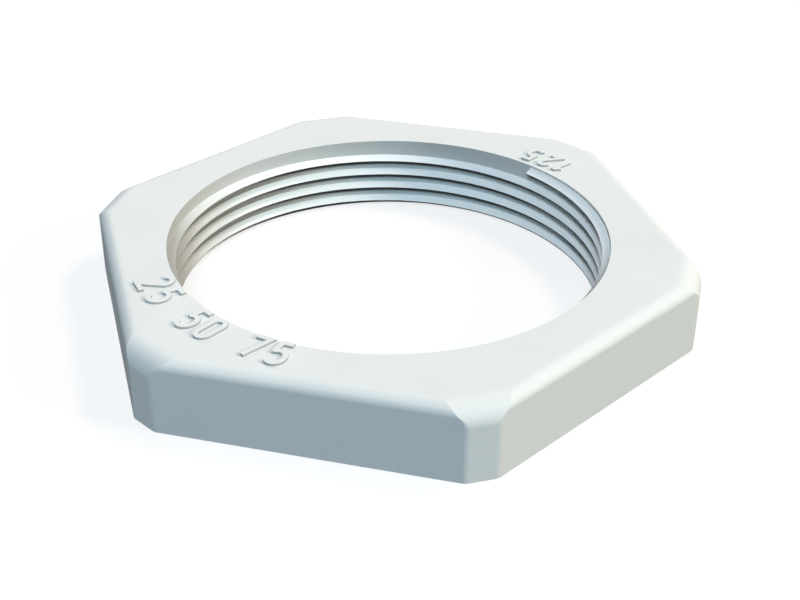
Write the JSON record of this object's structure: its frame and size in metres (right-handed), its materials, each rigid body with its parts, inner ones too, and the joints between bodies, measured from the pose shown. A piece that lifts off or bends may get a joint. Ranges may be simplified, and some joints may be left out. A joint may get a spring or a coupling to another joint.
{
  "type": "cable gland locknut",
  "caption": "Hexagonal moulded plastic locknut with a wide threaded bore, which clamps a cable gland to an enclosure wall.",
  "frame": {"origin": "centre of the seating face, on the thread's axis", "axes": "+Z along the thread's axis, from the seating face to the rolled face; +X towards a corner face; -Y towards a spanner flat"},
  "size_m": [0.0562, 0.05, 0.007],
  "materials": {
    "polyamide": "pale grey moulded polyamide, satin"
  },
  "bodies": {
    "root": {"locknut": "polyamide"}
  },
  "joints": []
}
